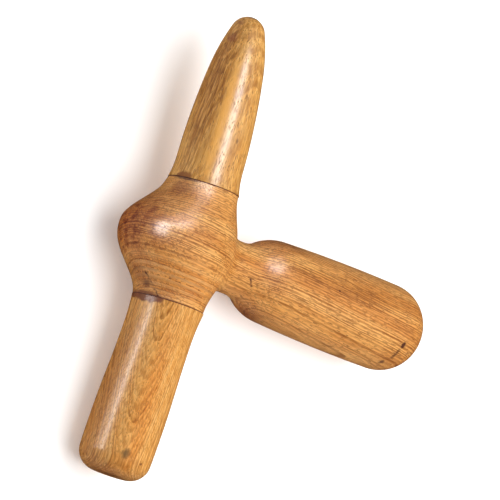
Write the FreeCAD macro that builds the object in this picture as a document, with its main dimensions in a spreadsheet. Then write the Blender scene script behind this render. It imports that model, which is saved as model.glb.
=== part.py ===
import FreeCAD, Part
import math
import os
import Sketcher
from FreeCAD import Placement, Rotation, Vector

# Hand-held wooden foot massage tool. The hub, neck and grip are turned from one length of wood. A
# tapered probe and a blunt arm are dowelled and glued to opposite sides of the hub.
#
# The tool is designed in a bench frame: X along the grip, away from the nose, Y along the arms
# towards the probe, Z across both. One shared placement then lays it on a table, so that it rests
# on its hub, its grip and its blunt arm. Millimetres throughout.

DOC = FreeCAD.newDocument("massage_tool")
START, END, CENTRE = 1, 2, 3
AXIS = -1

SIZES = [
    # hub: an egg seen along the arms, which swells between two nearly round seats
    ("hub_nose_reach", 31.5),
    ("hub_half_depth", 21.0),
    ("flare_radius", 14.8),
    ("swell_lift", 1.5),
    ("upper_flare_height", 25.2),
    ("lower_flare_height", 25.9),
    ("flare_power", 1.1),
    ("upper_nose_power", 0.9),
    ("lower_nose_power", 1.2),
    ("upper_seat", 25.4),
    ("lower_seat", 23.6),
    ("neck_blend", 9.0),
    # neck and grip, turned about their own axis, which tilts a little off X
    ("neck_radius", 11.3),
    ("neck_cove", 20.0),
    ("shoulder_place", 50.0),
    ("shoulder_round", 22.0),
    ("grip_belly_radius", 18.9),
    ("grip_belly_place", 102.0),
    ("grip_belly_curve", 1080.0),
    ("grip_round_place", 116.0),
    ("grip_round", 16.6),
    ("grip_drop", 0.6),
    ("grip_tilt", 0.5),
    # probe, turned about its own axis
    ("probe_length", 71.8),
    ("probe_foot_radius", 15.0),
    ("probe_waist_radius", 13.85),
    ("probe_waist_place", 9.0),
    ("probe_knee_radius", 11.17),
    ("probe_knee_share", 0.6825),
    ("probe_tip_round", 7.2),
    ("probe_lean", 1.2),
    ("tip_mark_radius", 1.3),
    ("tip_mark_depth", 0.9),
    # blunt arm, turned about its own axis
    ("blunt_length", 72.6),
    ("blunt_foot_radius", 15.0),
    ("blunt_waist_radius", 14.2),
    ("blunt_waist_place", 12.0),
    ("blunt_belly_radius", 15.0),
    ("blunt_belly_place", 52.0),
    ("blunt_end_round", 8.4),
    ("blunt_lean", 2.7),
    # dowels, their sockets and the glue
    ("dowel_radius", 6.0),
    ("dowel_in_hub", 17.0),
    ("dowel_in_arm", 21.0),
    ("dowel_chamfer", 1.0),
    ("flute_count", 12),
    ("flute_radius", 0.5),
    ("socket_clearance", 0.05),
    ("socket_spare", 1.5),
    ("glue_thickness", 0.4),
    ("glue_recess", 0.15),
    ("foot_spare", 1.5),
]


def make_sheet():
    """The driving sizes, one aliased cell each."""
    sheet = DOC.addObject("Spreadsheet::Sheet", "sizes")
    for row, (alias, value) in enumerate(SIZES, start=1):
        sheet.set(f"A{row}", alias)
        sheet.set(f"B{row}", str(value))
        sheet.setAlias(f"B{row}", alias)
    DOC.recompute()
    return sheet


SHEET = make_sheet()


def size(alias):
    return float(getattr(SHEET, alias))


# ---------------------------------------------------------------- sketch helpers


def new_body(name):
    body = DOC.addObject("PartDesign::Body", name)
    body.Label = name
    return body


def new_sketch(body, name, role):
    """A sketch on one of the body's own origin planes."""
    sketch = body.newObject("Sketcher::SketchObject", name)
    plane = [f for f in body.Origin.OriginFeatures if f.Role == role][0]
    sketch.AttachmentSupport = [(plane, "")]
    sketch.MapMode = "FlatFace"
    return sketch


def level_sketch(body, name, height):
    """A sketch across the arms, at a bench height given as an expression."""
    sketch = new_sketch(body, name, "XZ_Plane")
    sketch.setExpression("AttachmentOffset.Base.z", f"-({height})")
    return sketch


def line(sketch, a, b):
    segment = Part.LineSegment(Vector(a[0], a[1], 0), Vector(b[0], b[1], 0))
    return sketch.addGeometry(segment, False)


def arc(sketch, centre, radius, start, end):
    """An anticlockwise arc about centre from the point start to the point end."""
    angles = [math.atan2(p[1] - centre[1], p[0] - centre[0]) for p in (start, end)]
    circle = Part.Circle(Vector(centre[0], centre[1], 0), Vector(0, 0, 1), radius)
    return sketch.addGeometry(Part.ArcOfCircle(circle, angles[0], angles[1]), False)


def ring(sketch, name, expression, radius):
    """A circle about the sketch's origin, with its radius from the sheet."""
    circle = Part.Circle(Vector(0, 0, 0), Vector(0, 0, 1), radius)
    number = sketch.addGeometry(circle, False)
    hold(sketch, "Coincident", number, CENTRE, AXIS, START)
    drive(sketch, name, expression, "Radius", number, radius)
    return number


def hold(sketch, kind, *where):
    return sketch.addConstraint(Sketcher.Constraint(kind, *where))


def drive(sketch, name, expression, kind, *where):
    """A named dimension whose value comes from the sheet."""
    index = sketch.addConstraint(Sketcher.Constraint(kind, *where))
    sketch.renameConstraint(index, name)
    sketch.setExpression(f"Constraints.{name}", expression)


def toward(a, b, distance):
    """The point at a distance from a, on the way to b."""
    gap = math.hypot(b[0] - a[0], b[1] - a[1])
    return (a[0] + (b[0] - a[0]) * distance / gap, a[1] + (b[1] - a[1]) * distance / gap)


def bridge(knee, inward, centre, radius):
    """The radius of the arc that leaves knee square to inward and wraps the circle about centre."""
    x, y = knee[0] - centre[0], knee[1] - centre[1]
    lean = inward[0] * x + inward[1] * y
    return (radius**2 - x**2 - y**2) / (2 * (lean + radius))


# ---------------------------------------------------------------- feature helpers


def revolve(body, sketch, name, axis):
    feature = body.newObject("PartDesign::Revolution", name)
    feature.Profile = sketch
    feature.ReferenceAxis = (sketch, [axis])
    feature.Angle = 360
    DOC.recompute()
    return feature


def cut_away(body, sketch, name, depth, upwards):
    """A pocket of a depth given as an expression, towards +Y or -Y."""
    pocket = body.newObject("PartDesign::Pocket", name)
    pocket.Profile = sketch
    pocket.setExpression("Length", depth)
    pocket.Reversed = not upwards
    DOC.recompute()
    return pocket


def pad_down(body, sketch, name, depth):
    """A pad of a depth given as an expression, towards -Y."""
    pad = body.newObject("PartDesign::Pad", name)
    pad.Profile = sketch
    pad.setExpression("Length", depth)
    DOC.recompute()
    return pad


def boolean(kind, name, base, tool):
    feature = DOC.addObject(kind, name)
    feature.Base, feature.Tool = base, tool
    DOC.recompute()
    return feature


# ---------------------------------------------------------------- handle

SECTIONS = 6


def hub_section(name, height, half):
    """An ellipse across the arms at a height given as an expression, set off towards the nose."""
    share = f"(abs({height} - sizes.swell_lift) / sizes.{half}_flare_height)"
    bell = f"(cos(90deg * {share} ^ sizes.flare_power) ^ 2)"
    lean = f"(cos(90deg * {share} ^ sizes.{half}_nose_power) ^ 2)"
    depth = f"(sizes.flare_radius + (sizes.hub_half_depth - sizes.flare_radius) * {bell})"
    offset = f"((sizes.hub_nose_reach - sizes.hub_half_depth) / 2 * {lean})"
    section = DOC.addObject("Part::Ellipse", name)
    section.Placement = Placement(Vector(0, 0, 0), Rotation(Vector(1, 0, 0), 90))
    section.setExpression("MajorRadius", f"{depth} + {offset}")
    section.setExpression("MinorRadius", depth)
    section.setExpression("Placement.Base.x", f"-{offset}")
    section.setExpression("Placement.Base.y", height)
    return section


def make_hub():
    """The hub's outer form, lofted from the lower seat to the upper one."""
    sections = []
    for k in range(-SECTIONS, SECTIONS + 1):
        half = "lower" if k < 0 else "upper"
        height = f"(sizes.{half}_seat * {k} / {SECTIONS})"
        name = f"hub_section_{k + SECTIONS}"
        sections.append(hub_section(name, height, half))
    DOC.recompute()
    form = DOC.addObject("Part::Loft", "hub_form")
    form.Sections = sections
    form.Solid = True
    form.Ruled = False
    DOC.recompute()
    return form


def make_grip():
    """The neck, shoulder and barrelled grip, turned about X."""
    body = new_body("grip_form")
    sketch = new_sketch(body, "grip_profile", "XY_Plane")
    sketch.AttachmentOffset = Placement(Vector(0, 0, 0), Rotation(Vector(0, 0, 1), size("grip_tilt")))
    sketch.setExpression("AttachmentOffset.Base.y", "-sizes.grip_drop")
    sketch.setExpression("AttachmentOffset.Rotation.Angle", "sizes.grip_tilt * 1deg")
    curve, s_round, e_round = size("grip_belly_curve"), size("shoulder_round"), size("grip_round")
    belly = (size("grip_belly_place"), size("grip_belly_radius") - curve)

    def inside(place, radius):
        return (place, belly[1] + math.sqrt((curve - radius) ** 2 - (place - belly[0]) ** 2))

    shoulder = inside(size("shoulder_place"), s_round)
    end = inside(size("grip_round_place"), e_round)
    cove_r, neck = size("neck_cove"), size("neck_radius")
    rise = neck + cove_r - shoulder[1]
    cove = (shoulder[0] - math.sqrt((cove_r + s_round) ** 2 - rise**2), neck + cove_r)
    foot, turn = (cove[0], neck), toward(cove, shoulder, cove_r)
    top_s, top_e = toward(belly, shoulder, curve), toward(belly, end, curve)
    tail = (end[0] + e_round, end[1])
    axis = line(sketch, (0, 0), (tail[0], 0))
    root = line(sketch, (0, 0), (0, neck))
    wall = line(sketch, (0, neck), foot)
    hollow = arc(sketch, cove, cove_r, foot, turn)
    round_s = arc(sketch, shoulder, s_round, top_s, turn)
    side = arc(sketch, belly, curve, top_e, top_s)
    round_e = arc(sketch, end, e_round, tail, top_e)
    flat = line(sketch, tail, (tail[0], 0))
    hold(sketch, "Coincident", axis, START, AXIS, START)
    hold(sketch, "Horizontal", axis)
    hold(sketch, "Coincident", root, START, axis, START)
    hold(sketch, "Vertical", root)
    hold(sketch, "Coincident", wall, START, root, END)
    hold(sketch, "Horizontal", wall)
    hold(sketch, "Tangent", wall, END, hollow, START)
    hold(sketch, "Tangent", hollow, END, round_s, END)
    hold(sketch, "Tangent", round_s, START, side, END)
    hold(sketch, "Tangent", side, START, round_e, END)
    hold(sketch, "Tangent", round_e, START, flat, START)
    hold(sketch, "Vertical", flat)
    hold(sketch, "Coincident", flat, END, axis, END)
    drive(sketch, "neck", "sizes.neck_radius", "DistanceY", root, START, root, END, neck)
    drive(sketch, "cove", "sizes.neck_cove", "Radius", hollow, cove_r)
    drive(sketch, "shoulder", "sizes.shoulder_round", "Radius", round_s, s_round)
    drive(sketch, "end", "sizes.grip_round", "Radius", round_e, e_round)
    drive(sketch, "curve", "sizes.grip_belly_curve", "Radius", side, curve)
    places = (
        ("shoulder_x", "sizes.shoulder_place", round_s, shoulder[0]),
        ("end_x", "sizes.grip_round_place", round_e, end[0]),
        ("belly_x", "sizes.grip_belly_place", side, belly[0]),
    )
    for name, expression, edge, value in places:
        drive(sketch, name, expression, "DistanceX", AXIS, START, edge, CENTRE, value)
    sag = "sizes.grip_belly_curve - sizes.grip_belly_radius"
    drive(sketch, "belly_y", sag, "DistanceY", side, CENTRE, AXIS, START, -belly[1])
    revolve(body, sketch, "grip_turning", "H_Axis")
    return body


def socket_cutter(name, seat, side):
    """A cylinder along Y that cuts the hub's dowel socket, on the +1 or -1 side."""
    cutter = DOC.addObject("Part::Cylinder", name)
    cutter.Placement = Placement(Vector(0, 0, 0), Rotation(Vector(1, 0, 0), 90 * side))
    cutter.setExpression("Radius", "sizes.dowel_radius + sizes.socket_clearance")
    cutter.setExpression("Height", "sizes.dowel_in_hub + sizes.socket_spare + 1")
    cutter.setExpression("Placement.Base.y", f"{side} * ({seat} + 1)")
    return cutter


def neck_edges(shape):
    """Numbers of the edges where the neck leaves the hub."""
    near = size("neck_radius") * 1.05
    far = size("hub_half_depth") + 2
    found = []
    for number, edge in enumerate(shape.Edges, start=1):
        box = edge.BoundBox
        radial = max(box.YMax, -box.YMin, box.ZMax, -box.ZMin)
        if radial < near and 1 < box.XMin and box.XMax < far:
            found.append(number)
    return found


def make_handle():
    """Hub and grip in one piece: fused, blended at the neck, and bored for the two dowels."""
    fused = boolean("Part::Fuse", "handle_fused", make_hub(), make_grip())
    blend = DOC.addObject("Part::Fillet", "handle_blended")
    blend.Base = fused
    radius = size("neck_blend")
    blend.Edges = [(number, radius, radius) for number in neck_edges(fused.Shape)]
    DOC.recompute()
    upper = socket_cutter("upper_socket", "sizes.upper_seat", 1)
    lower = socket_cutter("lower_socket", "sizes.lower_seat", -1)
    once = boolean("Part::Cut", "handle_bored", blend, upper)
    handle = boolean("Part::Cut", "handle", once, lower)
    handle.Label = "handle"
    return handle


# ---------------------------------------------------------------- arms


def arm_sketch(body, side, seat, lean):
    """A profile sketch whose +Y runs out along the arm's own axis, from the middle of its foot."""
    sketch = new_sketch(body, body.Label + "_profile", "XY_Plane")
    turn = 0 if side > 0 else 180
    sketch.AttachmentOffset = Placement(Vector(0, 0, 0), Rotation(Vector(0, 0, 1), 90))
    sketch.setExpression("AttachmentOffset.Base.y", f"{side} * ({seat} + sizes.glue_thickness)")
    sketch.setExpression("AttachmentOffset.Rotation.Angle", f"{turn}deg + {side} * {lean} * 1deg")
    DOC.recompute()
    return sketch


def foot_cove(sketch, axis_top, foot, waist, place, prefix):
    """The axis, the spare end above the foot and the hollow between foot and waist."""
    spare = size("foot_spare")
    bend = ((foot - waist) ** 2 + place**2) / (2 * (foot - waist))
    centre = (waist + bend, place)
    edge = (centre[0] - math.sqrt(bend**2 - (place + spare) ** 2), -spare)
    axis = line(sketch, (0, -spare), (0, axis_top))
    base = line(sketch, (0, -spare), edge)
    cove = arc(sketch, centre, bend, (waist, place), edge)
    mark = sketch.addGeometry(Part.Point(Vector(foot, 0, 0)), True)
    hold(sketch, "PointOnObject", axis, START, -2)
    hold(sketch, "Vertical", axis)
    hold(sketch, "Coincident", base, START, axis, START)
    hold(sketch, "Horizontal", base)
    hold(sketch, "Coincident", base, END, cove, END)
    hold(sketch, "PointOnObject", mark, START, -1)
    hold(sketch, "PointOnObject", mark, START, cove)
    drive(sketch, "spare", "sizes.foot_spare", "DistanceY", axis, START, AXIS, START, spare)
    radius = f"sizes.{prefix}_foot_radius"
    drive(sketch, "foot", radius, "DistanceX", AXIS, START, mark, START, foot)
    radius = f"sizes.{prefix}_waist_radius"
    drive(sketch, "waist", radius, "DistanceX", AXIS, START, cove, START, waist)
    where = f"sizes.{prefix}_waist_place"
    drive(sketch, "waist_y", where, "DistanceY", AXIS, START, cove, CENTRE, place)
    drive(sketch, "waist_start", where, "DistanceY", AXIS, START, cove, START, place)
    return axis, cove


def finish_arm(body, side, seat):
    """Trim the foot square to the arms and bore the dowel socket in it."""
    foot = f"{side} * ({seat} + sizes.glue_thickness)"
    trim = level_sketch(body, body.Label + "_trim", foot)
    ring(trim, "reach", "sizes.hub_nose_reach", size("hub_nose_reach"))
    cut_away(body, trim, body.Label + "_foot", "sizes.foot_spare * 3", side < 0)
    hole = level_sketch(body, body.Label + "_hole", foot)
    ring(hole, "bore", "sizes.dowel_radius + sizes.socket_clearance", size("dowel_radius"))
    cut_away(body, hole, body.Label + "_socket", "sizes.dowel_in_arm + sizes.socket_spare", side > 0)
    return body


def make_probe():
    """The tapered arm: a hollowed foot, a slightly bowed side, an ogive and a round tip."""
    body = new_body("probe")
    sketch = arm_sketch(body, 1, "sizes.upper_seat", "sizes.probe_lean")
    waist, place = size("probe_waist_radius"), size("probe_waist_place")
    tip_r, top = size("probe_tip_round"), size("probe_length")
    knee = (size("probe_knee_radius"), top * size("probe_knee_share"))
    drop, rise = waist - knee[0], knee[1] - place
    side_r = (drop**2 + rise**2) / (2 * drop)
    side_c, tip_c = (waist - side_r, place), (0, top - tip_r)
    inward = ((side_c[0] - knee[0]) / side_r, (side_c[1] - knee[1]) / side_r)
    ogive_r = bridge(knee, inward, tip_c, tip_r)
    ogive_c = toward(knee, side_c, ogive_r)
    nape = toward(ogive_c, tip_c, ogive_r)
    mark_r, mark_d = size("tip_mark_radius"), size("tip_mark_depth")
    rim = (mark_r, tip_c[1] + math.sqrt(tip_r**2 - mark_r**2))
    foot = size("probe_foot_radius")
    axis, cove = foot_cove(sketch, top - mark_d, foot, waist, place, "probe")
    side = arc(sketch, side_c, side_r, (waist, place), knee)
    ogive = arc(sketch, ogive_c, ogive_r, knee, nape)
    tip = arc(sketch, tip_c, tip_r, nape, rim)
    mark = line(sketch, rim, (0, top - mark_d))
    hold(sketch, "Tangent", cove, START, side, START)
    hold(sketch, "Tangent", side, END, ogive, START)
    hold(sketch, "Tangent", ogive, END, tip, START)
    hold(sketch, "Coincident", tip, END, mark, START)
    hold(sketch, "Coincident", mark, END, axis, END)
    hold(sketch, "PointOnObject", tip, CENTRE, -2)
    where = "sizes.probe_knee_radius"
    drive(sketch, "knee", where, "DistanceX", AXIS, START, side, END, knee[0])
    where = "sizes.probe_length * sizes.probe_knee_share"
    drive(sketch, "knee_y", where, "DistanceY", AXIS, START, side, END, knee[1])
    drive(sketch, "tip", "sizes.probe_tip_round", "Radius", tip, tip_r)
    where = "sizes.probe_length - sizes.probe_tip_round"
    drive(sketch, "tip_y", where, "DistanceY", AXIS, START, tip, CENTRE, tip_c[1])
    drive(sketch, "mark", "sizes.tip_mark_radius", "DistanceX", AXIS, START, tip, END, mark_r)
    where = "sizes.probe_length - sizes.tip_mark_depth"
    drive(sketch, "mark_y", where, "DistanceY", AXIS, START, axis, END, top - mark_d)
    revolve(body, sketch, "probe_turning", "V_Axis")
    return finish_arm(body, 1, "sizes.upper_seat")


def make_blunt_arm():
    """The straight arm: a hollowed foot, a faint waist and belly, and a rounded flat end."""
    body = new_body("blunt_arm")
    sketch = arm_sketch(body, -1, "sizes.lower_seat", "sizes.blunt_lean")
    waist, place = size("blunt_waist_radius"), size("blunt_waist_place")
    belly_r, belly_y = size("blunt_belly_radius"), size("blunt_belly_place")
    run, swell = belly_y - place, belly_r - waist
    bend = (run**2 + swell**2) / (4 * swell)
    hollow_c, belly_c = (waist + bend, place), (belly_r - bend, belly_y)
    swing = ((waist + belly_r) / 2, (place + belly_y) / 2)
    end_r, top = size("blunt_end_round"), size("blunt_length")
    end_y = top - end_r
    end_c = (belly_c[0] + math.sqrt((bend - end_r) ** 2 - (end_y - belly_y) ** 2), end_y)
    knee = toward(belly_c, end_c, bend)
    rim = (end_c[0], top)
    foot = size("blunt_foot_radius")
    axis, cove = foot_cove(sketch, top, foot, waist, place, "blunt")
    hollow = arc(sketch, hollow_c, bend, swing, (waist, place))
    belly = arc(sketch, belly_c, bend, swing, knee)
    corner = arc(sketch, end_c, end_r, knee, rim)
    flat = line(sketch, rim, (0, top))
    hold(sketch, "Tangent", cove, START, hollow, END)
    hold(sketch, "Tangent", hollow, START, belly, START)
    hold(sketch, "Equal", hollow, belly)
    hold(sketch, "Tangent", belly, END, corner, START)
    hold(sketch, "Tangent", corner, END, flat, START)
    hold(sketch, "Coincident", flat, END, axis, END)
    hold(sketch, "Horizontal", flat)
    drive(sketch, "corner", "sizes.blunt_end_round", "Radius", corner, end_r)
    where = "sizes.blunt_belly_place"
    drive(sketch, "belly_y", where, "DistanceY", AXIS, START, belly, CENTRE, belly_y)
    middle = "(sizes.blunt_waist_radius + sizes.blunt_belly_radius) / 2"
    drive(sketch, "swing_x", middle, "DistanceX", AXIS, START, belly, START, swing[0])
    drive(sketch, "end_y", "sizes.blunt_length", "DistanceY", AXIS, START, axis, END, top)
    revolve(body, sketch, "blunt_turning", "V_Axis")
    return finish_arm(body, -1, "sizes.lower_seat")


# ---------------------------------------------------------------- joints


def make_dowel(name, side, seat):
    """A fluted dowel, chamfered at both ends, that crosses one joint."""
    body = new_body(name)
    outer = f"({seat} + sizes.glue_thickness + sizes.dowel_in_arm)"
    inner = f"({seat} - sizes.dowel_in_hub)"
    top = outer if side > 0 else f"(-{inner})"
    length = "sizes.dowel_in_hub + sizes.glue_thickness + sizes.dowel_in_arm"
    rod = level_sketch(body, name + "_round", top)
    ring(rod, "radius", "sizes.dowel_radius", size("dowel_radius"))
    pad = pad_down(body, rod, name + "_rod", length)
    rims = [n for n, edge in enumerate(pad.Shape.Edges, start=1) if edge.isClosed()]
    chamfer = body.newObject("PartDesign::Chamfer", name + "_chamfer")
    chamfer.Base = (pad, [f"Edge{n}" for n in rims])
    chamfer.setExpression("Size", "sizes.dowel_chamfer")
    body.Tip = chamfer
    DOC.recompute()
    flute = level_sketch(body, name + "_flute", top)
    circle = Part.Circle(Vector(size("dowel_radius"), 0, 0), Vector(0, 0, 1), size("flute_radius"))
    groove = flute.addGeometry(circle, False)
    hold(flute, "PointOnObject", groove, CENTRE, -1)
    drive(flute, "radius", "sizes.flute_radius", "Radius", groove, size("flute_radius"))
    reach = "sizes.dowel_radius"
    drive(flute, "reach", reach, "DistanceX", AXIS, START, groove, CENTRE, size("dowel_radius"))
    cut = cut_away(body, flute, name + "_groove", length, False)
    pattern = body.newObject("PartDesign::PolarPattern", name + "_flutes")
    pattern.Originals = [cut]
    pattern.Axis = (flute, ["N_Axis"])
    pattern.Angle = 360
    pattern.setExpression("Occurrences", "sizes.flute_count")
    body.Tip = pattern
    DOC.recompute()
    return body


def make_glue(name, top, prefix):
    """The thin ring of glue and filler round one dowel, just inside the turned surface."""
    body = new_body(name)
    sketch = level_sketch(body, name + "_ring", top)
    rim = f"sizes.{prefix}_foot_radius"
    ring(sketch, "outer", f"{rim} - sizes.glue_recess", size(f"{prefix}_foot_radius"))
    ring(sketch, "inner", "sizes.dowel_radius + sizes.socket_clearance", size("dowel_radius"))
    pad_down(body, sketch, name + "_film", "sizes.glue_thickness")
    return body


# ---------------------------------------------------------------- the tool on its table

FINE = 0.03


def points_of(piece):
    return piece.Shape.tessellate(FINE)[0]


def resting_turn(handle, arm):
    """The rotation that brings hub, grip and blunt arm down to one level."""
    middle = size("shoulder_place")
    hub = [p for p in points_of(handle) if p.x < middle]
    grip = [p for p in points_of(handle) if p.x > middle]
    touching = (hub, grip, points_of(arm))
    turn = Rotation()
    for _ in range(6):
        a, b, c = [min(group, key=lambda p: turn.multVec(p).z) for group in touching]
        normal = (b - a).cross(c - a)
        if normal.z < 0:
            normal = normal * -1
        turn = Rotation(normal, Vector(0, 0, 1))
    return turn


def lay_down(pieces):
    """Lay every piece down by one placement, the origin under the middle of the tool's bounds."""
    turn = resting_turn(pieces[0], pieces[2])
    points = [turn.multVec(p) for piece in pieces[:3] for p in points_of(piece)]
    xs, ys, zs = [p.x for p in points], [p.y for p in points], [p.z for p in points]
    shift = Vector(-(min(xs) + max(xs)) / 2, -(min(ys) + max(ys)) / 2, -min(zs))
    for piece in pieces:
        piece.Placement = Placement(shift, turn)
    DOC.recompute()


def check(pieces):
    for item in DOC.Objects:
        if "Invalid" in item.State or "Error" in item.State:
            raise RuntimeError(f"{item.Label} did not build")
    for piece in pieces:
        shape = piece.Shape
        if shape.isNull() or not shape.isValid() or len(shape.Solids) != 1:
            raise RuntimeError(f"{piece.Label} is not one sound solid")


def main():
    pieces = [
        make_handle(),
        make_probe(),
        make_blunt_arm(),
        make_dowel("probe_dowel", 1, "sizes.upper_seat"),
        make_dowel("blunt_dowel", -1, "sizes.lower_seat"),
        make_glue("probe_glue", "sizes.upper_seat + sizes.glue_thickness", "probe"),
        make_glue("blunt_glue", "-sizes.lower_seat", "blunt"),
    ]
    check(pieces)
    lay_down(pieces)
    check(pieces)
    os.makedirs("parts", exist_ok=True)
    for piece in pieces:
        piece.Shape.exportStep(f"parts/{piece.Label}.step")


main()
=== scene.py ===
import math
import bpy
from bpy.props import FloatProperty, FloatVectorProperty, PointerProperty
from mathutils import Matrix, Quaternion, Vector

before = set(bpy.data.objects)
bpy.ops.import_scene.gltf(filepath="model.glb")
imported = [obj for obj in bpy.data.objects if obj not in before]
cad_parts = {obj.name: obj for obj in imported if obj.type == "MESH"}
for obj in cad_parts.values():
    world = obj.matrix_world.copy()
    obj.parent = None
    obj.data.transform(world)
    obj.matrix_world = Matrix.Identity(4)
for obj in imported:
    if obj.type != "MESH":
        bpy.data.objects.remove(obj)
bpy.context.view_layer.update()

bl_info = {
    "name": "Turned Massage Tool",
    "version": (1, 0, 0),
    "blender": (4, 5, 0),
    "location": "View3D > Sidebar > Massage Tool",
    "description": "Wood, filler and stage for a turned massage tool with a grip and two arms",
    "category": "Object",
}

MM = 0.001
UP = Vector((0, 0, 1))
LENGTHWISE = Vector((0, 1, 0))

# The tool is drawn in a bench frame: X runs along the grip, Y along the two arms, Z across both,
# all from the middle of the hub. It lies on its table turned by REST_TURN, with its hub at HUB.
REST_TURN = Quaternion((0.999362, 0.034578, 0.008986, 0.0))
HUB = Vector((-0.0505481, -0.0002372, 0.020862))

# Where the probe and the blunt arm meet the hub along bench Y, in millimetres.
UPPER_SEAT = 25.4
LOWER_SEAT = -23.6


# ---------------------------------------------------------------- settings


def colour_setting(name, text, value):
    return FloatVectorProperty(
        name=name, description=text, subtype="COLOR", size=3, min=0.0, max=1.0, default=value
    )


def length_setting(name, text, millimetres):
    return FloatProperty(
        name=name, description=text, unit="LENGTH", min=0.0, precision=4, default=millimetres * MM
    )


def share_setting(name, text, value):
    return FloatProperty(
        name=name, description=text, subtype="FACTOR", min=0.0, max=1.0, default=value
    )


def power_setting(name, text, watts):
    return FloatProperty(name=name, description=text, unit="POWER", min=0.0, default=watts)


def angle_setting(name, text, degrees):
    return FloatProperty(name=name, description=text, subtype="ANGLE", default=math.radians(degrees))


class HandleSettings(bpy.types.PropertyGroup):
    """The wood of the hub and grip"""

    light: colour_setting("Early wood", "Colour of the wood between the ring lines", (1.0, 0.52, 0.15))
    middle: colour_setting("Heart wood", "Colour of the broad darker bands", (0.86, 0.39, 0.095))
    dark: colour_setting("Late wood", "Colour of the ring lines", (0.30, 0.085, 0.014))
    ring: length_setting("Ring spacing", "Average distance between two ring lines", 1.05)
    wander: length_setting("Wander", "How far the rings drift sideways over a hand's width", 6.0)
    ripple: length_setting("Ripple", "How far the rings waver over a few millimetres", 0.7)
    lines: share_setting("Ring lines", "Strength of the ring lines", 0.95)
    pores: share_setting("Pores", "Strength of the open pores", 0.75)


class ProbeSettings(bpy.types.PropertyGroup):
    """The wood of the probe"""

    light: colour_setting("Early wood", "Colour of the wood between the ring lines", (1.0, 0.56, 0.16))
    middle: colour_setting("Heart wood", "Colour of the broad darker bands", (0.88, 0.46, 0.115))
    dark: colour_setting("Late wood", "Colour of the ring lines", (0.42, 0.16, 0.03))
    gold: colour_setting(
        "Golden streak", "Colour of the streak beside the dark side", (0.98, 0.47, 0.09)
    )
    ring: length_setting("Ring spacing", "Average distance between two ring lines", 1.5)
    wander: length_setting("Wander", "How far the rings drift sideways over a hand's width", 7.0)
    ripple: length_setting("Ripple", "How far the rings waver over a few millimetres", 0.9)
    lines: share_setting("Ring lines", "Strength of the ring lines", 0.8)
    pores: share_setting("Pores", "Strength of the open pores", 0.7)


class BluntSettings(bpy.types.PropertyGroup):
    """The wood of the blunt arm"""

    light: colour_setting("Early wood", "Colour of the wood between the ring lines", (1.0, 0.56, 0.18))
    middle: colour_setting("Heart wood", "Colour of the broad darker bands", (0.98, 0.48, 0.12))
    dark: colour_setting("Late wood", "Colour of the ring lines", (0.42, 0.15, 0.02))
    ring: length_setting("Ring spacing", "Average distance between two ring lines", 1.7)
    wander: length_setting("Wander", "How far the rings drift sideways over a hand's width", 3.0)
    ripple: length_setting("Ripple", "How far the rings waver over a few millimetres", 1.6)
    lines: share_setting("Ring lines", "Strength of the ring lines", 1.0)
    pores: share_setting("Pores", "Strength of the open pores", 0.5)


class JointSettings(bpy.types.PropertyGroup):
    """The filler in the seams and the dowels behind them"""

    filler: colour_setting("Filler", "Colour of the hard filler in the seams", (0.085, 0.022, 0.012))
    dowel: colour_setting("Dowel wood", "Colour of the pale dowels", (0.68, 0.47, 0.27))


class StageSettings(bpy.types.PropertyGroup):
    """The table, the lights and the camera"""

    table: colour_setting("Table", "Colour of the plain table", (0.93, 0.93, 0.93))
    sky: FloatProperty(
        name="Room light", description="Even light from all round", min=0.0, default=0.30
    )
    ceiling: power_setting("Ceiling panel", "Power of the large panel that lights the wood", 24.0)
    table_fill: power_setting("Table fill", "Power of the light on the table alone", 16.0)
    top_strip: power_setting("Top strip", "Power of the gleam down the probe", 11.0)
    hub_window: power_setting("Hub window", "Power of the gleam on the hub", 10.5)
    shoulder_window: power_setting("Shoulder window", "Power of the gleam on the shoulder", 3.0)
    low_window: power_setting("Low window", "Power of the gleam down the blunt arm", 12.0)
    soft_panel: power_setting("Soft panel", "Power of the dim gleam over the hub", 5.0)
    lens: FloatProperty(
        name="Lens", description="Focal length", subtype="DISTANCE_CAMERA", default=236.0
    )
    turn: angle_setting("Turn", "Camera angle round the arms, from straight above", 39.6)
    dip: angle_setting("Dip", "Camera angle below the hub's middle plane", 6.4)
    roll: angle_setting("Roll", "Camera roll", 17.0)


class ToolSettings(bpy.types.PropertyGroup):
    """Everything a user would change on the massage tool"""

    handle: PointerProperty(name="Handle", description="Hub and grip", type=HandleSettings)
    probe: PointerProperty(name="Probe", description="Pointed arm", type=ProbeSettings)
    blunt: PointerProperty(name="Blunt arm", description="Rounded arm", type=BluntSettings)
    joint: PointerProperty(name="Joints", description="Filler and dowels", type=JointSettings)
    stage: PointerProperty(name="Stage", description="Table, lights and camera", type=StageSettings)


# ---------------------------------------------------------------- node building


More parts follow.
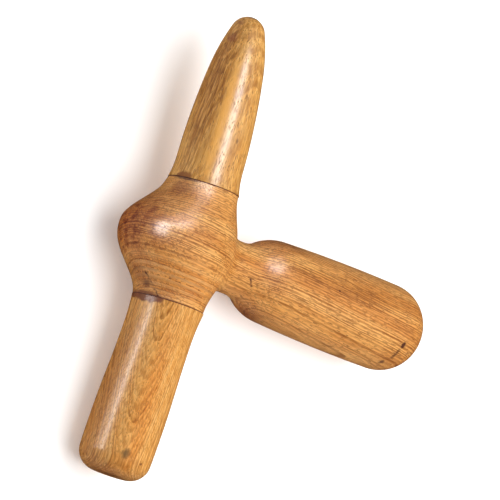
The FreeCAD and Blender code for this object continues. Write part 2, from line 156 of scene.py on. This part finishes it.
class Net:
    """Adds nodes to one tree, linking sockets and setting constant values by position or name."""

    def __init__(self, tree):
        self.tree = tree

    def node(self, kind, inputs=(), out=0, **settings):
        """Add a node and return one of its output sockets."""
        made = self.tree.nodes.new(kind)
        for key, value in settings.items():
            setattr(made, key, value)
        pairs = inputs.items() if isinstance(inputs, dict) else enumerate(inputs)
        for key, value in pairs:
            self.plug(made.inputs[key], value)
        return made.outputs[out]

    def plug(self, socket, value):
        if isinstance(value, bpy.types.NodeSocket):
            self.tree.links.new(value, socket)
        elif value is not None:
            socket.default_value = value

    def math(self, operation, a, b=None, c=None, clamp=False):
        return self.node("ShaderNodeMath", (a, b, c), operation=operation, use_clamp=clamp)

    def vmath(self, operation, a, b=None, out=0):
        return self.node("ShaderNodeVectorMath", (a, b), out, operation=operation)

    def step(self, value, low, high):
        """0 below low, 1 above high, smooth between."""
        inputs = (value, low, high, 0.0, 1.0)
        return self.node("ShaderNodeMapRange", inputs, interpolation_type="SMOOTHSTEP")

    def opposite(self, value):
        return self.math("SUBTRACT", 1.0, value)

    def times(self, a, b):
        return self.math("MULTIPLY", a, b)

    def at_least(self, low, mask):
        """low where the mask is 0, rising to 1 where it is 1."""
        return self.math("MULTIPLY_ADD", mask, 1.0 - low, low)

    def noise(self, vector, scale, detail=2.0, rough=0.5):
        inputs = {"Vector": vector, "Scale": scale, "Detail": detail, "Roughness": rough}
        return self.node("ShaderNodeTexNoise", inputs)

    def line_noise(self, value, scale, detail=1.0):
        inputs = {"W": value, "Scale": scale, "Detail": detail}
        return self.node("ShaderNodeTexNoise", inputs, noise_dimensions="1D")

    def scale(self, vector, factor):
        return self.node("ShaderNodeVectorMath", {0: vector, "Scale": factor}, operation="SCALE")

    def stretch(self, vector, share):
        """Shrink local Z to this share, which draws a pattern out along the grain."""
        return self.vmath("MULTIPLY", vector, (1.0, 1.0, share))

    def mix(self, factor, a, b, blend="MIX"):
        inputs = {0: factor, 6: a, 7: b}
        return self.node("ShaderNodeMix", inputs, 2, data_type="RGBA", blend_type=blend)

    def surface(self, inputs):
        """Close a material with one surface shader that has these inputs."""
        output = self.tree.nodes.new("ShaderNodeOutputMaterial")
        self.plug(output.inputs["Surface"], self.node("ShaderNodeBsdfPrincipled", inputs))


GROUPS = {}


def group(name, inputs, outputs):
    """A new shader group: its net, its input sockets and its output sockets."""
    tree = bpy.data.node_groups.new(name, "ShaderNodeTree")
    for label, kind in inputs:
        tree.interface.new_socket(name=label, in_out="INPUT", socket_type="NodeSocket" + kind)
    for label, kind in outputs:
        tree.interface.new_socket(name=label, in_out="OUTPUT", socket_type="NodeSocket" + kind)
    source = tree.nodes.new("NodeGroupInput")
    target = tree.nodes.new("NodeGroupOutput")
    GROUPS[name] = tree
    return Net(tree), source.outputs, target.inputs


def use(net, name, inputs):
    """Add a group to a material and return its output sockets."""
    return net.node("ShaderNodeGroup", inputs, node_tree=GROUPS[name]).node.outputs


def make_bench_group():
    """The shading point in the bench frame, in millimetres."""
    net, _, end = group("bench_point", (), (("Point", "Vector"),))
    place = net.node("ShaderNodeTexCoord", out="Object")
    inputs = (place, HUB, REST_TURN.to_euler(), (MM, MM, MM))
    net.plug(end["Point"], net.node("ShaderNodeMapping", inputs, vector_type="TEXTURE"))


# In the groups below a noise scale is per millimetre, and the two levels of a step across noise,
# which is 0.5 on average, set how much of the surface the feature takes.

# Where in its year, from 0 to 1, a ring's dark line rises and falls and its early wood fades.
LINE_RISE = (0.2, 0.66)
LINE_FALL = (0.86, 1.0)
EARLY_FADE = (0.05, 0.55)

# How far in years the ring spacing drifts, and the least share of a line's strength that a faint
# year or the gap between two dashes leaves.
UNEVEN_YEARS = 2.4
FAINT_YEAR = 0.35
DASH_GAP = 0.45


def make_ring_group():
    """Growth rings round the local Z axis, each year ending in a dark line of late wood."""
    sockets = (("Point", "Vector"), ("Spacing", "Float"), ("Wander", "Float"), ("Ripple", "Float"))
    outputs = (("Line", "Float"), ("Early", "Float"), ("Band", "Float"))
    net, start, end = group("growth_rings", sockets, outputs)
    point, spacing, wander, ripple = start[:4]
    radius = net.vmath("LENGTH", net.stretch(point, 0.0), out="Value")
    slow = net.noise(net.stretch(point, 0.4), 0.03, 1.0)
    fast = net.noise(net.stretch(point, 0.3), 0.2, 2.0)
    drift = net.times(net.math("SUBTRACT", slow, 0.5), wander)
    shake = net.times(net.math("SUBTRACT", fast, 0.5), ripple)
    bent = net.math("ADD", net.math("ADD", radius, drift), shake)
    years = net.math("DIVIDE", bent, spacing)
    uneven = net.line_noise(years, 0.23)
    years = net.math("ADD", years, net.times(uneven, UNEVEN_YEARS))
    part = net.math("FRACT", years)
    rise = net.step(part, *LINE_RISE)
    fall = net.opposite(net.step(part, *LINE_FALL))
    inputs = {"W": net.math("FLOOR", years)}
    year = net.node("ShaderNodeTexWhiteNoise", inputs, noise_dimensions="1D")
    dashes = net.step(net.noise(net.stretch(point, 0.1), 0.7, 2.0), 0.3, 0.6)
    strength = net.times(net.at_least(FAINT_YEAR, year), net.at_least(DASH_GAP, dashes))
    net.plug(end["Line"], net.times(net.times(rise, fall), strength))
    net.plug(end["Early"], net.opposite(net.step(part, *EARLY_FADE)))
    net.plug(end["Band"], net.step(net.line_noise(bent, 0.16, 2.0), 0.36, 0.64))


def make_fibre_group():
    """Fine streaks, short open pores, pale flecks and slow tone changes along the local Z axis."""
    outputs = (("Streak", "Float"), ("Pore", "Float"), ("Fleck", "Float"), ("Tone", "Float"))
    net, start, end = group("fibres", (("Point", "Vector"), ("Pore Size", "Float")), outputs)
    point, size = start[:2]
    fine = net.scale(point, net.math("DIVIDE", 1.0, size))
    streak = net.noise(net.stretch(point, 0.03), 0.8, 3.0, 0.6)
    pore = net.noise(net.stretch(fine, 0.16), 0.62, 1.0)
    fleck = net.noise(net.stretch(fine, 0.10), 0.51, 1.0)
    tone = net.noise(net.stretch(point, 0.12), 0.10, 2.0)
    net.plug(end["Streak"], net.step(streak, 0.34, 0.68))
    net.plug(end["Pore"], net.step(pore, 0.54, 0.64))
    net.plug(end["Fleck"], net.step(fleck, 0.56, 0.68))
    net.plug(end["Tone"], net.step(tone, 0.32, 0.68))


def make_spot_group():
    """A soft-edged patch: 1 inside an ellipsoid about Centre, 0 outside, its edge made ragged."""
    sockets = (
        ("Point", "Vector"),
        ("Centre", "Vector"),
        ("Radii", "Vector"),
        ("Edge", "Float"),
        ("Ragged", "Float"),
    )
    net, start, end = group("spot", sockets, (("Mask", "Float"),))
    point, centre, radii, edge, ragged = start[:5]
    away = net.vmath("DIVIDE", net.vmath("SUBTRACT", point, centre), radii)
    far = net.vmath("LENGTH", away, out="Value")
    rough = net.math("SUBTRACT", net.noise(point, 0.45, 3.0), 0.5)
    far = net.math("ADD", far, net.times(rough, ragged))
    net.plug(end["Mask"], net.opposite(net.step(far, net.opposite(edge), 1.0)))


def make_scratch_group():
    """A slightly wavering hairline from Start to End, 1 on the line and 0 past Width from it."""
    sockets = (("Point", "Vector"), ("Start", "Vector"), ("End", "Vector"), ("Width", "Float"))
    net, start, end = group("hairline", sockets, (("Mask", "Float"),))
    point, first, last, width = start[:4]
    run = net.vmath("SUBTRACT", last, first)
    away = net.vmath("SUBTRACT", point, first)
    along = net.vmath("DOT_PRODUCT", away, run, out="Value")
    length = net.vmath("DOT_PRODUCT", run, run, out="Value")
    share = net.math("DIVIDE", along, length, clamp=True)
    gap = net.vmath("DISTANCE", away, net.scale(run, share), out="Value")
    shake = net.math("MULTIPLY_ADD", net.noise(point, 0.9, 1.0), 0.9, -0.45)
    gap = net.math("ABSOLUTE", net.math("ADD", gap, shake))
    net.plug(end["Mask"], net.opposite(net.step(gap, 0.0, width)))


def build_groups():
    """Make the shader groups once, before the first material."""
    if GROUPS:
        return
    make_bench_group()
    make_ring_group()
    make_fibre_group()
    make_spot_group()
    make_scratch_group()


# ---------------------------------------------------------------- wood


def new_material(name):
    """An empty material and the net that fills it."""
    build_groups()
    material = bpy.data.materials.new(name)
    material.use_nodes = True
    material.node_tree.nodes.clear()
    return material, Net(material.node_tree)


def grain_space(net, point, pith, turn, flat=1.0):
    """The bench point seen from a pith line: local Z runs along the grain, X is stretched by flat."""
    inputs = (point, pith, [math.radians(a) for a in turn], (1.0 / flat, 1.0, 1.0))
    return net.node("ShaderNodeMapping", inputs, vector_type="TEXTURE")


def growth_rings(net, point, spacing, wander, ripple):
    """Growth rings round the point's Z axis, all three sizes in millimetres."""
    inputs = {"Point": point, "Spacing": spacing, "Wander": wander, "Ripple": ripple}
    return use(net, "growth_rings", inputs)


def rgba(colour, share=1.0):
    return [value * share for value in colour] + [1.0]


# How strongly the slow tone, the fine streaks and the pale flecks show in every wood, how much
# paler than early wood a fleck is, how dark a pore is, and the share of pores in the late wood.
TONE_SHARE = 0.45
STREAK_SHARE = 0.22
FLECK_SHARE = 0.28
FLECK_GLOW = 1.15
PORE_DARKNESS = 0.55
LATE_PORES = 0.4

# The finish: how deep a pore is sunk, in metres, how strongly that shows, and how deep a ring line
# is against a pore.
GRAIN_DEPTH = 0.0002
GRAIN_STRENGTH = 0.55
LINE_DEPTH = 0.35


class Wood:
    """One piece's wood while it is being coloured: a net, a bench point and the colour so far."""

    def __init__(self, name, settings, pith, turn, flat=1.0, pore_size=0.3):
        self.material, self.net = new_material(name)
        net = self.net
        self.point = use(net, "bench_point", {})[0]
        self.local = grain_space(net, self.point, pith, turn, flat)
        self.straight = grain_space(net, self.point, pith, turn)
        sizes = [size / MM for size in (settings.ring, settings.wander, settings.ripple)]
        rings = growth_rings(net, self.local, *sizes)
        fibres = use(net, "fibres", {"Point": self.straight, "Pore Size": pore_size})
        light, middle, dark = rgba(settings.light), rgba(settings.middle), rgba(settings.dark)
        self.line = net.times(rings["Line"], settings.lines)
        self.pore = net.times(fibres["Pore"], net.at_least(LATE_PORES, rings["Early"]))
        colour = net.mix(rings["Band"], light, middle)
        colour = net.mix(net.times(fibres["Tone"], TONE_SHARE), colour, middle)
        colour = net.mix(self.line, colour, dark)
        colour = net.mix(net.times(fibres["Streak"], STREAK_SHARE), colour, dark)
        fleck_colour = rgba(settings.light, FLECK_GLOW)
        colour = net.mix(net.times(fibres["Fleck"], FLECK_SHARE), colour, fleck_colour)
        pore_colour = rgba(settings.dark, PORE_DARKNESS)
        self.colour = net.mix(net.times(self.pore, settings.pores), colour, pore_colour)

    def tint(self, mask, colour, strength):
        """Lay a colour over the wood where the mask is."""
        self.colour = self.net.mix(self.net.times(mask, strength), self.colour, rgba(colour))

    def shade(self, mask, colour, strength):
        """Multiply the wood's colour where the mask is, so that its figure stays."""
        share = self.net.times(mask, strength)
        self.colour = self.net.mix(share, self.colour, rgba(colour), "MULTIPLY")

    def streaks(self, width, low, high):
        """Broad uneven streaks along the grain, about width millimetres across."""
        net = self.net
        noise = net.noise(net.stretch(self.straight, 0.07), 1.0 / width, 2.0)
        return net.step(noise, low, high)

    def spot(self, centre, radii, edge=0.5, ragged=0.4):
        """A mask in an ellipsoid, in bench millimetres; edge is the share of it that fades."""
        inputs = {
            "Point": self.point,
            "Centre": centre,
            "Radii": radii,
            "Edge": edge,
            "Ragged": ragged,
        }
        return use(self.net, "spot", inputs)[0]

    def hairline(self, first, last, width):
        """A mask along a thin line between two bench points."""
        inputs = {"Point": self.point, "Start": first, "End": last, "Width": width}
        return use(self.net, "hairline", inputs)[0]

    def finish(self):
        """A worn oil finish: glossy on the surface, dull and sunk in the pores."""
        net = self.net
        depth = net.math("MULTIPLY_ADD", self.line, LINE_DEPTH, self.pore)
        relief = {
            "Strength": GRAIN_STRENGTH,
            "Distance": GRAIN_DEPTH,
            "Height": net.times(depth, -1.0),
        }
        inputs = {
            "Base Color": self.colour,
            "Roughness": net.math("MULTIPLY_ADD", self.pore, 0.2, 0.42),
            "Specular IOR Level": 0.3,
            "Coat Weight": net.math("MULTIPLY_ADD", self.pore, -0.5, 0.8),
            "Coat Roughness": 0.25,
            "Coat IOR": 1.45,
            "Normal": net.node("ShaderNodeBump", relief),
        }
        net.surface(inputs)
        return self.material


def paint(node, material):
    """Give a CAD node its material."""
    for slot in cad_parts[node].material_slots:
        slot.material = material


# Colours laid over the wood by tint.
PLUM = (0.075, 0.018, 0.012)
GARNET = (0.20, 0.045, 0.02)
INK_BROWN = (0.12, 0.04, 0.02)
KNOT_BROWN = (0.16, 0.09, 0.03)
ROW_BROWN = (0.16, 0.05, 0.015)
PITCH_BROWN = (0.2, 0.09, 0.03)
DEEP_RED = (0.26, 0.06, 0.03)
BRICK_RED = (0.30, 0.07, 0.03)
FILLER_BROWN = (0.32, 0.10, 0.02)
PALE_BAND = (1.0, 0.56, 0.20)

# Colours multiplied into the wood by shade, from the deepest to the faintest.
RUST = (0.42, 0.20, 0.12)
END_PAINTED_SHADE = (0.46, 0.30, 0.18)
CHESTNUT = (0.52, 0.34, 0.24)
COPPER = (0.55, 0.34, 0.16)
NECK_UNDER_PAINTED_SHADE = (0.55, 0.44, 0.36)
NECK_TOP_PAINTED_SHADE = (0.64, 0.54, 0.44)
OLIVE = (0.66, 0.58, 0.46)
SIDE_PAINTED_SHADE = (0.72, 0.58, 0.42)
NOSE_RED_AND_PAINTED_SHADE = (0.76, 0.52, 0.28)
KHAKI = (0.76, 0.64, 0.48)
CARAMEL = (0.80, 0.64, 0.46)
HONEY = (0.80, 0.66, 0.48)
BISCUIT = (0.84, 0.72, 0.56)
SAND = (0.86, 0.74, 0.60)
STRAW = (0.86, 0.76, 0.62)
WHEAT = (0.88, 0.72, 0.56)
CREAM = (0.94, 0.78, 0.56)


# ---------------------------------------------------------------- pieces


class MASSAGE_OT_handle(bpy.types.Operator):
    """Finish the hub and grip in straight-grained wood with fine dark ring lines"""

    bl_idname = "massage.handle"
    bl_label = "Handle"

    def execute(self, context):
        settings = context.scene.massage_tool.handle
        wood = Wood("handle_wood", settings, pith=(0.0, -80.0, 16.0), turn=(0.0, 90.0, -3.0))
        self.colour_hub(wood)
        self.colour_grip(wood)
        self.stain_seams(wood)
        self.mark_grip(wood)
        paint("handle", wood.finish())
        return {"FINISHED"}

    def colour_hub(self, wood):
        """Broad streaks all along, the nose darkened with painted shade and redder streaks, pale bands
        in the hub's lower half, red patches.
        """
        shaded_nose = wood.spot((-33.0, 4.0, -2.0), (24.0, 30.0, 28.0), 0.9, 0.3)
        wood.shade(wood.streaks(5.0, 0.42, 0.62), SAND, 0.8)
        # Painted shade: the nose side, which faces away from the light, is darkened in the wood's
        # colour; partly it is the redder wood there.
        wood.shade(shaded_nose, NOSE_RED_AND_PAINTED_SHADE, 1.0)
        wood.shade(wood.net.times(shaded_nose, wood.streaks(2.6, 0.46, 0.62)), COPPER, 1.0)
        band = growth_rings(wood.net, wood.local, spacing=2.3, wander=5.0, ripple=0.5)["Line"]
        low_half = wood.spot((-8.0, -14.0, 8.0), (26.0, 13.0, 20.0), 0.6, 0.6)
        wood.shade(low_half, WHEAT, 0.8)
        wood.tint(wood.net.times(low_half, band), PALE_BAND, 0.6)
        wood.shade(wood.spot((-16.0, 21.0, 7.0), (9.0, 5.0, 9.0), 0.9, 1.2), RUST, 0.5)
        wood.shade(wood.spot((-21.0, -17.0, 0.0), (9.0, 8.0, 9.0), 0.9, 0.9), CHESTNUT, 0.5)

    def colour_grip(self, wood):
        """Rows of dark lines along the grip's ridge, painted shade on the shoulder beside the neck,
        and a darker end.
        """
        row = growth_rings(wood.net, wood.straight, spacing=0.95, wander=1.0, ripple=0.3)["Line"]
        ridge = wood.spot((78.0, 7.5, 17.0), (48.0, 5.5, 7.0), 0.6, 0.5)
        wood.shade(ridge, BISCUIT, 0.8)
        wood.tint(wood.net.times(ridge, row), ROW_BROWN, 0.8)
        # Painted shade: the shoulder's faces just below and above the neck are darkened in grey-brown.
        wood.shade(wood.spot((43.0, -16.5, 0.0), (15.0, 8.0, 14.0), 0.9, 0.5), NECK_UNDER_PAINTED_SHADE, 1.0)
        wood.shade(wood.spot((48.0, 18.0, 4.0), (15.0, 7.0, 12.0), 0.9, 0.5), NECK_TOP_PAINTED_SHADE, 1.0)
        wood.shade(wood.spot((121.0, -8.0, 4.0), (24.0, 26.0, 26.0), 1.0, 0.3), CARAMEL, 1.0)

    def stain_seams(self, wood):
        """Filler stains along both seams, and the knot and hairline by the lower one."""
        wood.tint(wood.spot((-13.5, UPPER_SEAT, 5.0), (9.0, 1.3, 10.0), 0.7, 0.5), PLUM, 0.75)
        wood.tint(wood.spot((-14.5, LOWER_SEAT, 2.0), (6.0, 1.7, 13.0), 0.6, 0.5), GARNET, 0.75)
        wood.tint(wood.spot((-16.3, -19.4, 3.5), (3.0, 2.2, 3.4), 0.9, 0.6), PLUM, 0.6)
        wood.tint(wood.hairline((-19.2, -16.1, 4.4), (-12.7, -23.3, 7.9), 0.75), PLUM, 0.9)

    def mark_grip(self, wood):
        """The nick at the neck, the marks near the grip's end and a pin knot on its ridge."""
        wood.tint(wood.hairline((28.9, -3.5, 10.9), (31.1, -5.9, 9.8), 0.7), PLUM, 0.9)
        wood.tint(wood.spot((115.1, -6.0, 17.8), (1.3, 2.1, 2.0), 0.5, 0.5), PLUM, 0.95)
        wood.tint(wood.hairline((114.6, -8.6, 16.6), (114.2, -12.2, 14.1), 1.3), PLUM, 0.75)
        wood.tint(wood.spot((112.3, -15.0, 10.8), (1.8, 1.7, 2.2), 0.7, 0.6), PLUM, 0.8)
        wood.tint(wood.spot((71.5, 5.0, 18.0), (0.8, 0.6, 1.0), 0.6), PLUM, 0.9)


class MASSAGE_OT_probe(bpy.types.Operator):
    """Finish the probe in streaked wood, dark on one side with a golden streak beside it"""

    bl_idname = "massage.probe"
    bl_label = "Probe"

    def execute(self, context):
        settings = context.scene.massage_tool.probe
        pith, turn = (-2.0, 50.0, -27.0), (-87.0, 5.0, 0.0)
        wood = Wood("probe_wood", settings, pith, turn, flat=1.5, pore_size=0.28)
        dark_side = wood.spot((-15.0, 74.0, 3.0), (9.5, 46.0, 10.5), 0.5, 0.6)
        streak = wood.spot((-9.2, 62.0, 10.2), (3.0, 60.0, 3.8), 0.8, 0.4)
        wood.shade(wood.streaks(1.1, 0.42, 0.58), KHAKI, 0.85)
        wood.shade(dark_side, STRAW, 1.0)
        wood.shade(wood.net.times(dark_side, wood.streaks(0.6, 0.45, 0.6)), OLIVE, 1.0)
        wood.tint(streak, settings.gold, 0.85)
        wood.tint(wood.spot((-9.9, 86.3, 1.5), (2.6, 3.0, 4.0), 0.8, 0.6), BRICK_RED, 0.6)
        wood.tint(wood.spot((-7.8, 93.4, 1.0), (2.5, 1.5, 3.0), 0.8, 0.6), DEEP_RED, 0.5)
        smear = wood.spot((-15.0, UPPER_SEAT + 0.2, 3.6), (4.5, 2.8, 5.5), 0.4, 0.8)
        wood.tint(smear, FILLER_BROWN, 0.9)
        tip = wood.spot((0.0, 98.4, 0.0), (14.0, 2.4, 14.0), 0.5, 0.2)
        wood.tint(tip, PLUM, 0.6)
        wood.tint(wood.spot((-1.5, 45.8, 13.6), (0.9, 1.6, 1.2), 0.8, 0.6), PITCH_BROWN, 0.8)
        paint("probe", wood.finish())
        return {"FINISHED"}


class MASSAGE_OT_blunt_arm(bpy.types.Operator):
    """Finish the blunt arm in yellower wood with a cathedral figure down its middle"""

    bl_idname = "massage.blunt_arm"
    bl_label = "Blunt arm"

    def execute(self, context):
        settings = context.scene.massage_tool.blunt
        pith, turn = (11.9, -60.0, -21.0), (-73.0, -33.0, 0.0)
        wood = Wood("blunt_wood", settings, pith, turn, flat=3.9, pore_size=0.28)
        heart = wood.spot((-7.0, -62.0, 14.5), (5.5, 55.0, 6.5), 0.8, 0.5)
        wood.shade(heart, CREAM, 1.0)
        wood.shade(wood.streaks(0.9, 0.44, 0.60), HONEY, 0.6)
        # Painted shade: the arm's nose side, which faces away from the light, is darkened toward its
        # edge.
        side_painted_shade = wood.spot((-19.0, -62.0, -3.0), (9.0, 60.0, 14.0), 0.7, 0.4)
        wood.shade(side_painted_shade, SIDE_PAINTED_SHADE, 0.9)
        # Painted shade: the rounded end of the arm, which faces away from the light, is darkened.
        end = wood.spot((-8.0, -99.0, 3.0), (20.0, 18.0, 22.0), 1.0, 0.4)
        wood.shade(end, END_PAINTED_SHADE, 1.0)
        smear = wood.spot((-15.0, LOWER_SEAT - 0.2, 2.0), (7.0, 3.2, 14.0), 0.3, 0.9)
        wood.tint(smear, GARNET, 0.85)
        knot = wood.spot((-9.3, -87.1, 13.2), (2.6, 3.2, 2.8), 0.9, 1.0)
        wood.tint(knot, KNOT_BROWN, 0.85)
        pin_knot = wood.spot((-1.2, -89.2, 14.6), (0.7, 0.7, 0.7), 0.6)
        wood.tint(pin_knot, INK_BROWN, 0.8)
        paint("blunt_arm", wood.finish())
        return {"FINISHED"}


class MASSAGE_OT_joints(bpy.types.Operator):
    """Finish the dowels and the filler in the two joints"""

    bl_idname = "massage.joints"
    bl_label = "Joints"

    def execute(self, context):
        settings = context.scene.massage_tool.joint
        filler = self.filler_material(settings)
        dowel = self.dowel_material(settings)
        for arm in ("probe", "blunt"):
            paint(arm + "_glue", filler)
            paint(arm + "_dowel", dowel)
        return {"FINISHED"}

    def filler_material(self, settings):
        """Dark hard filler, a little uneven where it was wiped off."""
        material, net = new_material("filler")
        point = use(net, "bench_point", {})[0]
        uneven = net.step(net.noise(point, 0.8, 3.0), 0.35, 0.65)
        relief = {"Strength": 0.4, "Distance": 0.0002, "Height": net.noise(point, 2.5, 3.0)}
        inputs = {
            "Base Color": net.mix(uneven, rgba(settings.filler), rgba(settings.filler, 1.9)),
            "Roughness": net.math("MULTIPLY_ADD", uneven, 0.2, 0.45),
            "Normal": net.node("ShaderNodeBump", relief),
        }
        net.surface(inputs)
        return material

    def dowel_material(self, settings):
        """Pale dry wood with the grain along the dowel."""
        material, net = new_material("dowel_wood")
        point = use(net, "bench_point", {})[0]
        local = grain_space(net, point, pith=(0.0, 0.0, 30.0), turn=(90.0, 0.0, 0.0))
        line = growth_rings(net, local, spacing=1.6, wander=2.0, ripple=0.4)["Line"]
        pore = use(net, "fibres", {"Point": local, "Pore Size": 0.4})["Pore"]
        wood, line_colour, pore_colour = (rgba(settings.dowel, share) for share in (1.0, 0.65, 0.5))
        colour = net.mix(net.times(line, 0.5), wood, line_colour)
        colour = net.mix(net.times(pore, 0.4), colour, pore_colour)
        roughness = net.math("MULTIPLY_ADD", pore, 0.1, 0.6)
        net.surface({"Base Color": colour, "Roughness": roughness})
        return material


# ---------------------------------------------------------------- stage


# How far the camera stands from the hub, and where it aims beside and below it, in metres.
CAMERA_DISTANCE = 1.32
AIM_ASIDE = 0.02614
AIM_BELOW = 0.00112


def view_axes(stage):
    """The camera's right, up and backward directions above the table."""
    flat = math.cos(stage.dip)
    side, depth = math.sin(stage.turn) * flat, math.cos(stage.turn) * flat
    back = Vector((-side, -math.sin(stage.dip), depth))
    level_up = (LENGTHWISE - back * back.y).normalized()
    level_right = level_up.cross(back)
    up = level_up * math.cos(stage.roll) - level_right * math.sin(stage.roll)
    right = level_up * math.sin(stage.roll) + level_right * math.cos(stage.roll)
    return [REST_TURN @ axis for axis in (right, up, back)]


def toward(azimuth, elevation, distance):
    """The point seen from the hub at these angles in degrees and this distance in metres."""
    turn, rise = math.radians(azimuth), math.radians(elevation)
    flat = math.cos(rise)
    way = Vector((math.cos(turn) * flat, math.sin(turn) * flat, math.sin(rise)))
    return HUB + way * distance


def panel_light(name, place, size, power, along=UP):
    """A panel that faces the hub, its second side as near to along as it can be."""
    lamp = bpy.data.lights.new(name, "AREA")
    lamp.shape = "RECTANGLE"
    lamp.size, lamp.size_y = size
    lamp.energy = power
    item = bpy.data.objects.new(name, lamp)
    bpy.context.scene.collection.objects.link(item)
    back = (place - HUB).normalized()
    side = along.cross(back).normalized()
    turn = Matrix((side, back.cross(side), back)).transposed().to_4x4()
    item.matrix_world = Matrix.Translation(place) @ turn
    item.visible_camera = False
    return item


def gleam_light(name, place, size, power, node, along=UP):
    """A panel that shows only in the gloss of one CAD node."""
    item = panel_light(name, place, size, power, along)
    item.visible_diffuse = False
    light_only(item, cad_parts[node])


def light_only(item, receiver):
    """Make a light fall on one object alone."""
    linked = bpy.data.collections.new(item.name + "_receivers")
    linked.objects.link(receiver)
    item.light_linking.receiver_collection = linked


def add_table(scene, colour):
    """A plain table, four metres from the middle to each side."""
    reach = 4.0
    corners = [(-reach, -reach, 0.0), (reach, -reach, 0.0), (reach, reach, 0.0), (-reach, reach, 0.0)]
    mesh = bpy.data.meshes.new("table")
    mesh.from_pydata(corners, [], [(0, 1, 2, 3)])
    table = bpy.data.objects.new("table", mesh)
    scene.collection.objects.link(table)
    material, net = new_material("table")
    net.surface({"Base Color": rgba(colour), "Roughness": 0.9})
    mesh.materials.append(material)
    table.visible_glossy = False
    return table


def add_room_light(scene, strength):
    """Even white light from all round, which doesn't show in the gloss."""
    world = bpy.data.worlds.new("studio")
    scene.world = world
    world.use_nodes = True
    background = world.node_tree.nodes["Background"]
    background.inputs["Color"].default_value = (1.0, 1.0, 1.0, 1.0)
    background.inputs["Strength"].default_value = strength
    world.cycles_visibility.glossy = False


def add_lights(stage, table):
    """The large panel, the table's own light and the gleams; places and sizes are in metres."""
    above = HUB + Vector((0.45, 0.0, 1.2))
    ceiling = panel_light("ceiling_panel", above, (1.6, 1.8), stage.ceiling, LENGTHWISE)
    ceiling.visible_glossy = False
    fill = panel_light("table_fill", HUB + UP * 1.5, (2.0, 2.0), stage.table_fill, LENGTHWISE)
    fill.data.use_shadow = False
    light_only(fill, table)
    gleams = (
        ("top_strip", toward(118, 77, 0.9), (0.34, 0.60), stage.top_strip, "probe", LENGTHWISE),
        ("hub_window", toward(164, 42, 0.8), (0.55, 0.32), stage.hub_window, "handle"),
        ("shoulder_window", toward(110, 56, 0.8), (0.36, 0.26), stage.shoulder_window, "handle"),
        ("low_window", toward(167, -7, 0.8), (0.55, 0.45), stage.low_window, "blunt_arm"),
        ("soft_panel", toward(110, 40, 0.9), (0.70, 0.55), stage.soft_panel, "handle"),
    )
    for gleam in gleams:
        gleam_light(*gleam)


def add_camera(scene, stage):
    """The camera, turned by the stage settings and aimed a little beside the hub."""
    lens = bpy.data.cameras.new("camera")
    lens.lens = stage.lens
    lens.sensor_width = 36.0
    lens.clip_end = 20.0
    camera = bpy.data.objects.new("camera", lens)
    scene.collection.objects.link(camera)
    right, up, back = view_axes(stage)
    place = HUB + back * CAMERA_DISTANCE
    target = HUB + right * AIM_ASIDE - up * AIM_BELOW
    back = (place - target).normalized()
    right = up.cross(back).normalized()
    up = back.cross(right)
    turn = Matrix((right, up, back)).transposed().to_4x4()
    camera.matrix_world = Matrix.Translation(place) @ turn
    scene.camera = camera


class MASSAGE_OT_stage(bpy.types.Operator):
    """Set the table, the lights and the camera"""

    bl_idname = "massage.stage"
    bl_label = "Stage"

    def execute(self, context):
        scene = context.scene
        stage = scene.massage_tool.stage
        table = add_table(scene, stage.table)
        add_room_light(scene, stage.sky)
        add_lights(stage, table)
        add_camera(scene, stage)
        scene.view_settings.view_transform = "Standard"
        return {"FINISHED"}


class MASSAGE_PT_panel(bpy.types.Panel):
    """Sizes, colours and steps of the massage tool"""

    bl_idname = "MASSAGE_PT_panel"
    bl_label = "Massage Tool"
    bl_space_type = "VIEW_3D"
    bl_region_type = "UI"
    bl_category = "Massage Tool"

    def draw(self, context):
        settings = context.scene.massage_tool
        for name, operator in STEPS:
            box = self.layout.box()
            part = getattr(settings, name)
            for key in part.__annotations__:
                box.prop(part, key)
            box.operator(operator.bl_idname)


STEPS = (
    ("handle", MASSAGE_OT_handle),
    ("probe", MASSAGE_OT_probe),
    ("blunt", MASSAGE_OT_blunt_arm),
    ("joint", MASSAGE_OT_joints),
    ("stage", MASSAGE_OT_stage),
)

CLASSES = (
    HandleSettings,
    ProbeSettings,
    BluntSettings,
    JointSettings,
    StageSettings,
    ToolSettings,
    MASSAGE_OT_handle,
    MASSAGE_OT_probe,
    MASSAGE_OT_blunt_arm,
    MASSAGE_OT_joints,
    MASSAGE_OT_stage,
    MASSAGE_PT_panel,
)


def register():
    for kind in CLASSES:
        bpy.utils.register_class(kind)
    bpy.types.Scene.massage_tool = PointerProperty(type=ToolSettings)


def unregister():
    del bpy.types.Scene.massage_tool
    for kind in reversed(CLASSES):
        bpy.utils.unregister_class(kind)


def main():
    register()
    bpy.ops.massage.handle()
    bpy.ops.massage.probe()
    bpy.ops.massage.blunt_arm()
    bpy.ops.massage.joints()
    bpy.ops.massage.stage()


if __name__ == "__main__":
    main()
